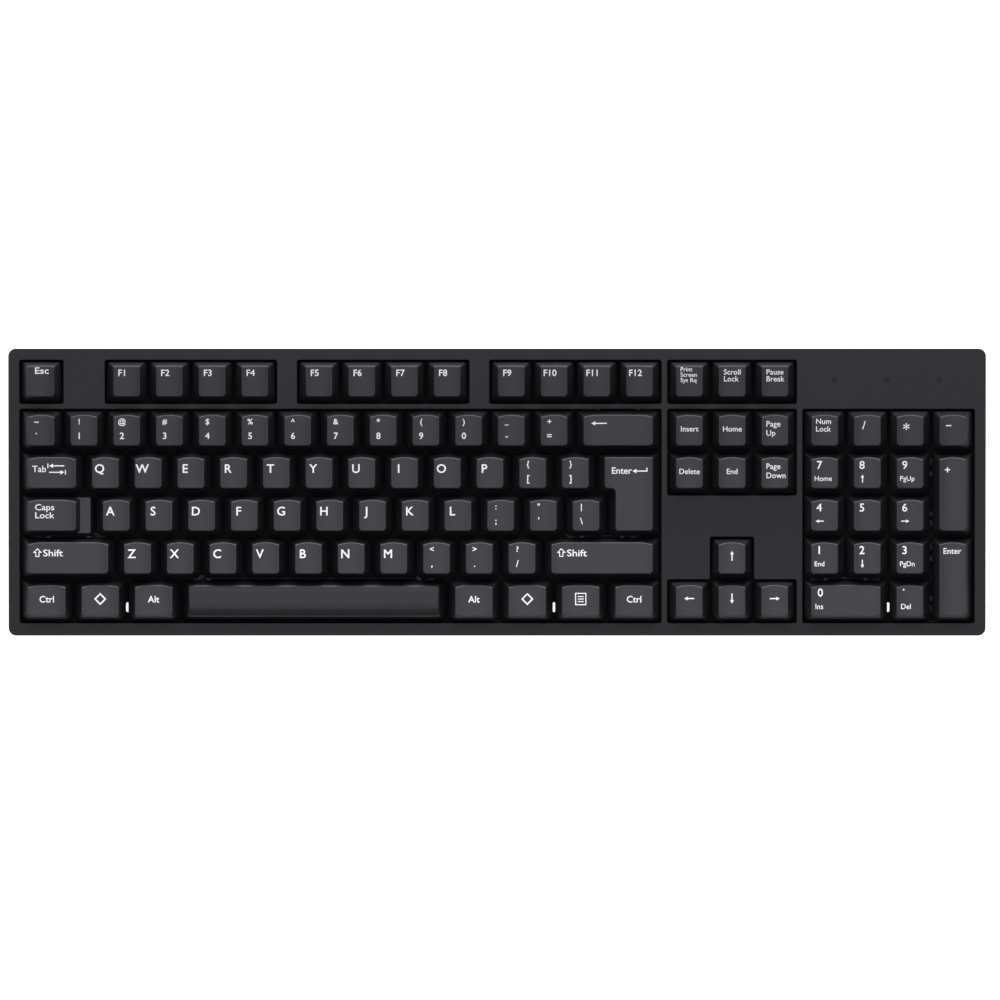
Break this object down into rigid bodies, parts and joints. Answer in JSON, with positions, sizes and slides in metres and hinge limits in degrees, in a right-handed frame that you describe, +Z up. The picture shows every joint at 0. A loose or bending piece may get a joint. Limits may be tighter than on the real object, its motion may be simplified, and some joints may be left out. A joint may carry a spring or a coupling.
{
  "type": "mechanical keyboard",
  "caption": "Full-size black mechanical keyboard with tapered sculpted keycaps, a big two-row Enter key, number pad and folding rear feet.",
  "frame": {"origin": "centre of the footprint on the desk, at the underside of the rubber feet", "axes": "+X to the typist's right along the long side, +Y to the rear edge, +Z up"},
  "size_m": [0.436, 0.128, 0.0387],
  "materials": {
    "case_plastic": "fine matt texture, near black",
    "keycap_plastic": "fine matt dark grey",
    "wire_steel": "dark oiled steel",
    "plate_paint": "matt black paint",
    "board_laminate": "green solder mask",
    "switch_plastic": "black nylon",
    "contact_brass": "bright",
    "socket_steel": "plain",
    "chip_resin": "black resin",
    "lamp_resin": "clear resin",
    "lens_smoke": "dark smoked, polished",
    "foot_rubber": "black",
    "screw_steel": "blackened"
  },
  "bodies": {
    "housing": {"top_case": "case_plastic", "bottom_case": "case_plastic", "mounting_plate": "plate_paint", "circuit_board": "board_laminate", "switch_bases": "switch_plastic", "switch_covers": "switch_plastic", "switch_springs": "wire_steel", "switch_contacts": "contact_brass", "stabiliser_housings": "switch_plastic", "usb_socket": "socket_steel", "controller_chip": "chip_resin", "indicator_leds": "lamp_resin", "indicator_lenses": "lens_smoke", "rubber_feet": "foot_rubber", "case_screws": "screw_steel"},
    "key_escape": {"key_escape": "keycap_plastic"},
    "keys_f1_f4": {"keys_f1_f4": "keycap_plastic"},
    "keys_f5_f8": {"keys_f5_f8": "keycap_plastic"},
    "keys_f9_f12": {"keys_f9_f12": "keycap_plastic"},
    "keys_print_scroll_pause": {"keys_print_scroll_pause": "keycap_plastic"},
    "keys_number_row": {"keys_number_row": "keycap_plastic"},
    "key_backspace": {"key_backspace": "keycap_plastic"},
    "key_tab": {"key_tab": "keycap_plastic"},
    "keys_upper_letters": {"keys_upper_letters": "keycap_plastic"},
    "key_caps_lock": {"key_caps_lock": "keycap_plastic"},
    "keys_home_letters": {"keys_home_letters": "keycap_plastic"},
    "key_enter": {"key_enter": "keycap_plastic"},
    "key_left_shift": {"key_left_shift": "keycap_plastic"},
    "keys_lower_letters": {"keys_lower_letters": "keycap_plastic"},
    "key_right_shift": {"key_right_shift": "keycap_plastic"},
    "key_left_control": {"key_left_control": "keycap_plastic"},
    "key_left_super": {"key_left_super": "keycap_plastic"},
    "key_left_alt": {"key_left_alt": "keycap_plastic"},
    "key_space": {"key_space": "keycap_plastic"},
    "key_right_alt": {"key_right_alt": "keycap_plastic"},
    "key_right_super": {"key_right_super": "keycap_plastic"},
    "key_menu": {"key_menu": "keycap_plastic"},
    "key_right_control": {"key_right_control": "keycap_plastic"},
    "keys_insert_home_page_up": {"keys_insert_home_page_up": "keycap_plastic"},
    "keys_delete_end_page_down": {"keys_delete_end_page_down": "keycap_plastic"},
    "keys_arrows": {"keys_arrows": "keycap_plastic"},
    "keys_pad_operators": {"keys_pad_operators": "keycap_plastic"},
    "keys_pad_7_8_9": {"keys_pad_7_8_9": "keycap_plastic"},
    "keys_pad_4_5_6": {"keys_pad_4_5_6": "keycap_plastic"},
    "keys_pad_1_2_3": {"keys_pad_1_2_3": "keycap_plastic"},
    "key_pad_zero": {"key_pad_zero": "keycap_plastic"},
    "key_pad_point": {"key_pad_point": "keycap_plastic"},
    "key_pad_plus": {"key_pad_plus": "keycap_plastic"},
    "key_pad_enter": {"key_pad_enter": "keycap_plastic"},
    "backspace_wire": {"backspace_wire": "wire_steel"},
    "enter_wire": {"enter_wire": "wire_steel"},
    "left_shift_wire": {"left_shift_wire": "wire_steel"},
    "right_shift_wire": {"right_shift_wire": "wire_steel"},
    "space_wire": {"space_wire": "wire_steel"},
    "pad_plus_wire": {"pad_plus_wire": "wire_steel"},
    "pad_enter_wire": {"pad_enter_wire": "wire_steel"},
    "pad_zero_wire": {"pad_zero_wire": "wire_steel"},
    "foot_left": {"foot_left": "case_plastic"},
    "foot_right": {"foot_right": "case_plastic"}
  },
  "joints": [
    {"name": "key_escape_press", "type": "slide", "parent": "housing", "child": "key_escape", "axis": [0, 0.0698, -0.9976], "range_m": [0, 0.004], "stiffness_N_per_m": 85, "springref_m": -0.0033, "deforming": ["switch_springs"]},
    {"name": "keys_f1_f4_press", "type": "slide", "parent": "housing", "child": "keys_f1_f4", "axis": [0, 0.0698, -0.9976], "range_m": [0, 0.004], "stiffness_N_per_m": 340, "springref_m": -0.0033, "deforming": ["switch_springs"]},
    {"name": "keys_f5_f8_press", "type": "slide", "parent": "housing", "child": "keys_f5_f8", "axis": [0, 0.0698, -0.9976], "range_m": [0, 0.004], "stiffness_N_per_m": 340, "springref_m": -0.0033, "deforming": ["switch_springs"]},
    {"name": "keys_f9_f12_press", "type": "slide", "parent": "housing", "child": "keys_f9_f12", "axis": [0, 0.0698, -0.9976], "range_m": [0, 0.004], "stiffness_N_per_m": 340, "springref_m": -0.0033, "deforming": ["switch_springs"]},
    {"name": "keys_print_scroll_pause_press", "type": "slide", "parent": "housing", "child": "keys_print_scroll_pause", "axis": [0, 0.0698, -0.9976], "range_m": [0, 0.004], "stiffness_N_per_m": 255, "springref_m": -0.0033, "deforming": ["switch_springs"]},
    {"name": "keys_number_row_press", "type": "slide", "parent": "housing", "child": "keys_number_row", "axis": [0, 0.0698, -0.9976], "range_m": [0, 0.004], "stiffness_N_per_m": 1105, "springref_m": -0.0033, "deforming": ["switch_springs"]},
    {"name": "key_backspace_press", "type": "slide", "parent": "housing", "child": "key_backspace", "axis": [0, 0.0698, -0.9976], "range_m": [0, 0.004], "stiffness_N_per_m": 85, "springref_m": -0.0033, "deforming": ["switch_springs"]},
    {"name": "key_tab_press", "type": "slide", "parent": "housing", "child": "key_tab", "axis": [0, 0.0698, -0.9976], "range_m": [0, 0.004], "stiffness_N_per_m": 85, "springref_m": -0.0033, "deforming": ["switch_springs"]},
    {"name": "keys_upper_letters_press", "type": "slide", "parent": "housing", "child": "keys_upper_letters", "axis": [0, 0.0698, -0.9976], "range_m": [0, 0.004], "stiffness_N_per_m": 1020, "springref_m": -0.0033, "deforming": ["switch_springs"]},
    {"name": "key_caps_lock_press", "type": "slide", "parent": "housing", "child": "key_caps_lock", "axis": [0, 0.0698, -0.9976], "range_m": [0, 0.004], "stiffness_N_per_m": 85, "springref_m": -0.0033, "deforming": ["switch_springs"]},
    {"name": "keys_home_letters_press", "type": "slide", "parent": "housing", "child": "keys_home_letters", "axis": [0, 0.0698, -0.9976], "range_m": [0, 0.004], "stiffness_N_per_m": 1020, "springref_m": -0.0033, "deforming": ["switch_springs"]},
    {"name": "key_enter_press", "type": "slide", "parent": "housing", "child": "key_enter", "axis": [0, 0.0698, -0.9976], "range_m": [0, 0.004], "stiffness_N_per_m": 85, "springref_m": -0.0033, "deforming": ["switch_springs"]},
    {"name": "key_left_shift_press", "type": "slide", "parent": "housing", "child": "key_left_shift", "axis": [0, 0.0698, -0.9976], "range_m": [0, 0.004], "stiffness_N_per_m": 85, "springref_m": -0.0033, "deforming": ["switch_springs"]},
    {"name": "keys_lower_letters_press", "type": "slide", "parent": "housing", "child": "keys_lower_letters", "axis": [0, 0.0698, -0.9976], "range_m": [0, 0.004], "stiffness_N_per_m": 850, "springref_m": -0.0033, "deforming": ["switch_springs"]},
    {"name": "key_right_shift_press", "type": "slide", "parent": "housing", "child": "key_right_shift", "axis": [0, 0.0698, -0.9976], "range_m": [0, 0.004], "stiffness_N_per_m": 85, "springref_m": -0.0033, "deforming": ["switch_springs"]},
    {"name": "key_left_control_press", "type": "slide", "parent": "housing", "child": "key_left_control", "axis": [0, 0.0698, -0.9976], "range_m": [0, 0.004], "stiffness_N_per_m": 85, "springref_m": -0.0033, "deforming": ["switch_springs"]},
    {"name": "key_left_super_press", "type": "slide", "parent": "housing", "child": "key_left_super", "axis": [0, 0.0698, -0.9976], "range_m": [0, 0.004], "stiffness_N_per_m": 85, "springref_m": -0.0033, "deforming": ["switch_springs"]},
    {"name": "key_left_alt_press", "type": "slide", "parent": "housing", "child": "key_left_alt", "axis": [0, 0.0698, -0.9976], "range_m": [0, 0.004], "stiffness_N_per_m": 85, "springref_m": -0.0033, "deforming": ["switch_springs"]},
    {"name": "key_space_press", "type": "slide", "parent": "housing", "child": "key_space", "axis": [0, 0.0698, -0.9976], "range_m": [0, 0.004], "stiffness_N_per_m": 85, "springref_m": -0.0033, "deforming": ["switch_springs"]},
    {"name": "key_right_alt_press", "type": "slide", "parent": "housing", "child": "key_right_alt", "axis": [0, 0.0698, -0.9976], "range_m": [0, 0.004], "stiffness_N_per_m": 85, "springref_m": -0.0033, "deforming": ["switch_springs"]},
    {"name": "key_right_super_press", "type": "slide", "parent": "housing", "child": "key_right_super", "axis": [0, 0.0698, -0.9976], "range_m": [0, 0.004], "stiffness_N_per_m": 85, "springref_m": -0.0033, "deforming": ["switch_springs"]},
    {"name": "key_menu_press", "type": "slide", "parent": "housing", "child": "key_menu", "axis": [0, 0.0698, -0.9976], "range_m": [0, 0.004], "stiffness_N_per_m": 85, "springref_m": -0.0033, "deforming": ["switch_springs"]},
    {"name": "key_right_control_press", "type": "slide", "parent": "housing", "child": "key_right_control", "axis": [0, 0.0698, -0.9976], "range_m": [0, 0.004], "stiffness_N_per_m": 85, "springref_m": -0.0033, "deforming": ["switch_springs"]},
    {"name": "keys_insert_home_page_up_press", "type": "slide", "parent": "housing", "child": "keys_insert_home_page_up", "axis": [0, 0.0698, -0.9976], "range_m": [0, 0.004], "stiffness_N_per_m": 255, "springref_m": -0.0033, "deforming": ["switch_springs"]},
    {"name": "keys_delete_end_page_down_press", "type": "slide", "parent": "housing", "child": "keys_delete_end_page_down", "axis": [0, 0.0698, -0.9976], "range_m": [0, 0.004], "stiffness_N_per_m": 255, "springref_m": -0.0033, "deforming": ["switch_springs"]},
    {"name": "keys_arrows_press", "type": "slide", "parent": "housing", "child": "keys_arrows", "axis": [0, 0.0698, -0.9976], "range_m": [0, 0.004], "stiffness_N_per_m": 340, "springref_m": -0.0033, "deforming": ["switch_springs"]},
    {"name": "keys_pad_operators_press", "type": "slide", "parent": "housing", "child": "keys_pad_operators", "axis": [0, 0.0698, -0.9976], "range_m": [0, 0.004], "stiffness_N_per_m": 340, "springref_m": -0.0033, "deforming": ["switch_springs"]},
    {"name": "keys_pad_7_8_9_press", "type": "slide", "parent": "housing", "child": "keys_pad_7_8_9", "axis": [0, 0.0698, -0.9976], "range_m": [0, 0.004], "stiffness_N_per_m": 255, "springref_m": -0.0033, "deforming": ["switch_springs"]},
    {"name": "keys_pad_4_5_6_press", "type": "slide", "parent": "housing", "child": "keys_pad_4_5_6", "axis": [0, 0.0698, -0.9976], "range_m": [0, 0.004], "stiffness_N_per_m": 255, "springref_m": -0.0033, "deforming": ["switch_springs"]},
    {"name": "keys_pad_1_2_3_press", "type": "slide", "parent": "housing", "child": "keys_pad_1_2_3", "axis": [0, 0.0698, -0.9976], "range_m": [0, 0.004], "stiffness_N_per_m": 255, "springref_m": -0.0033, "deforming": ["switch_springs"]},
    {"name": "key_pad_zero_press", "type": "slide", "parent": "housing", "child": "key_pad_zero", "axis": [0, 0.0698, -0.9976], "range_m": [0, 0.004], "stiffness_N_per_m": 85, "springref_m": -0.0033, "deforming": ["switch_springs"]},
    {"name": "key_pad_point_press", "type": "slide", "parent": "housing", "child": "key_pad_point", "axis": [0, 0.0698, -0.9976], "range_m": [0, 0.004], "stiffness_N_per_m": 85, "springref_m": -0.0033, "deforming": ["switch_springs"]},
    {"name": "key_pad_plus_press", "type": "slide", "parent": "housing", "child": "key_pad_plus", "axis": [0, 0.0698, -0.9976], "range_m": [0, 0.004], "stiffness_N_per_m": 85, "springref_m": -0.0033, "deforming": ["switch_springs"]},
    {"name": "key_pad_enter_press", "type": "slide", "parent": "housing", "child": "key_pad_enter", "axis": [0, 0.0698, -0.9976], "range_m": [0, 0.004], "stiffness_N_per_m": 85, "springref_m": -0.0033, "deforming": ["switch_springs"]},
    {"name": "backspace_wire_swing", "type": "hinge", "parent": "housing", "child": "backspace_wire", "pos_m": [0.05398, 0.03745, 0.01995], "axis": [1, 0, 0], "range_deg": [0, 24.25]},
    {"name": "enter_wire_swing", "type": "hinge", "parent": "housing", "child": "enter_wire", "pos_m": [0.05159, -0.00056, 0.01729], "axis": [0, 0.9976, 0.0698], "range_deg": [0, 24.25]},
    {"name": "left_shift_wire_swing", "type": "hinge", "parent": "housing", "child": "left_shift_wire", "pos_m": [-0.19129, -0.01956, 0.01596], "axis": [1, 0, 0], "range_deg": [0, 24.25]},
    {"name": "right_shift_wire_swing", "type": "hinge", "parent": "housing", "child": "right_shift_wire", "pos_m": [0.04683, -0.01956, 0.01596], "axis": [1, 0, 0], "range_deg": [0, 24.25]},
    {"name": "space_wire_swing", "type": "hinge", "parent": "housing", "child": "space_wire", "pos_m": [-0.08176, -0.03856, 0.01463], "axis": [1, 0, 0], "range_deg": [0, 24.25]},
    {"name": "pad_plus_wire_swing", "type": "hinge", "parent": "housing", "child": "pad_plus_wire", "pos_m": [0.19368, -0.00056, 0.01729], "axis": [0, 0.9976, 0.0698], "range_deg": [0, 24.25]},
    {"name": "pad_enter_wire_swing", "type": "hinge", "parent": "housing", "child": "pad_enter_wire", "pos_m": [0.19368, -0.03856, 0.01463], "axis": [0, 0.9976, 0.0698], "range_deg": [0, 24.25]},
    {"name": "pad_zero_wire_swing", "type": "hinge", "parent": "housing", "child": "pad_zero_wire", "pos_m": [0.15557, -0.03856, 0.01463], "axis": [1, 0, 0], "range_deg": [0, 24.25]},
    {"name": "foot_left_fold", "type": "hinge", "parent": "housing", "child": "foot_left", "pos_m": [-0.165, 0.05, 0.0046], "axis": [1, 0, 0], "range_deg": [0, 95]},
    {"name": "foot_right_fold", "type": "hinge", "parent": "housing", "child": "foot_right", "pos_m": [0.165, 0.05, 0.0046], "axis": [1, 0, 0], "range_deg": [0, 95]}
  ],
  "couplings": [
    {"joint": "backspace_wire_swing", "follows": "key_backspace_press", "rad_per_m": 105.7},
    {"joint": "enter_wire_swing", "follows": "key_enter_press", "rad_per_m": 105.7},
    {"joint": "left_shift_wire_swing", "follows": "key_left_shift_press", "rad_per_m": 105.7},
    {"joint": "right_shift_wire_swing", "follows": "key_right_shift_press", "rad_per_m": 105.7},
    {"joint": "space_wire_swing", "follows": "key_space_press", "rad_per_m": 105.7},
    {"joint": "pad_plus_wire_swing", "follows": "key_pad_plus_press", "rad_per_m": 105.7},
    {"joint": "pad_enter_wire_swing", "follows": "key_pad_enter_press", "rad_per_m": 105.7},
    {"joint": "pad_zero_wire_swing", "follows": "key_pad_zero_press", "rad_per_m": 105.7}
  ]
}
